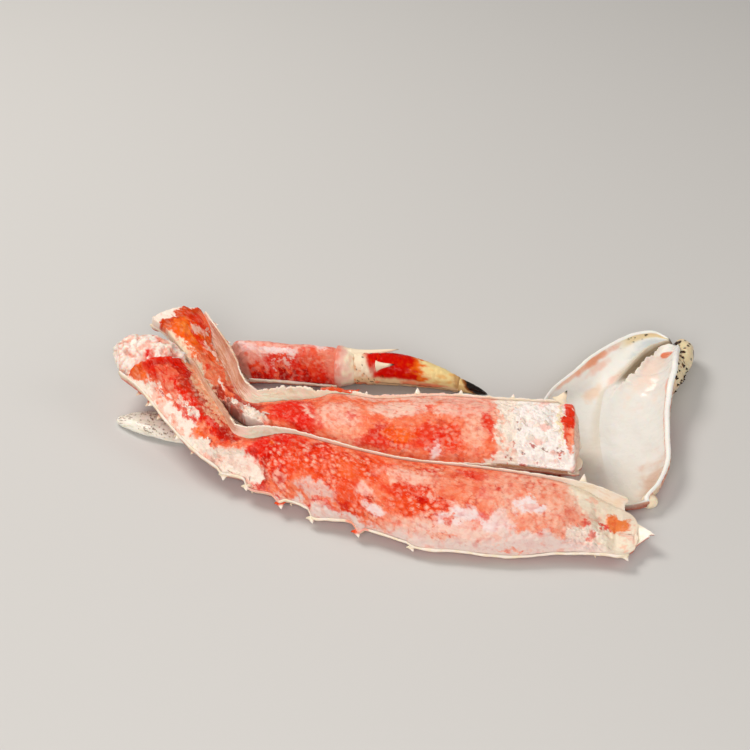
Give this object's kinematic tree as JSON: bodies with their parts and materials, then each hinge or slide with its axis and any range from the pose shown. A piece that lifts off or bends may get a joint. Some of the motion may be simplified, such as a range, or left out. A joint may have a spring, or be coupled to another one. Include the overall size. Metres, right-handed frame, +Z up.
{
  "type": "cooked king crab legs and claw in the half shell",
  "caption": "Cooked king crab legs and half claw, shells cut open along their length, the legs' red and white meat showing, laid out as served.",
  "frame": {"origin": "on the floor, under the middle of the whole layout's box", "axes": "+X to the viewer's right along the legs, +Y away from the viewer, +Z up"},
  "size_m": [0.2942, 0.1592, 0.0342],
  "materials": {
    "leg_shell": "cream shell blushing to salmon, waxy, semi-gloss",
    "red_meat": "wet cooked meat, mottled red, salmon and white",
    "white_meat": "white flaked meat, moist",
    "tip_shell": "red-orange and cream shell, glossy",
    "dark_nail": "black-brown horn, glossy",
    "claw_shell": "white inner shell with pink rims, tan outside with dark tubercles, glossy"
  },
  "bodies": {
    "root": {"leg_front_carpus_shell": "leg_shell", "leg_front_merus_shell": "leg_shell", "leg_front_carpus_meat": "red_meat", "leg_front_merus_meat": "red_meat", "leg_front_end_meat": "white_meat", "leg_rear_carpus_shell": "leg_shell", "leg_rear_merus_shell": "leg_shell", "leg_rear_carpus_meat": "red_meat", "leg_rear_merus_meat": "red_meat", "leg_tip_propodus_shell": "leg_shell", "leg_tip_propodus_meat": "red_meat", "leg_tip_collar": "leg_shell", "leg_tip_dactyl": "tip_shell", "leg_tip_nail": "dark_nail", "claw_palm_shell": "claw_shell", "claw_fixed_finger_shell": "claw_shell", "claw_moving_finger_shell": "claw_shell", "shell_tip_piece": "claw_shell"}
  },
  "joints": []
}
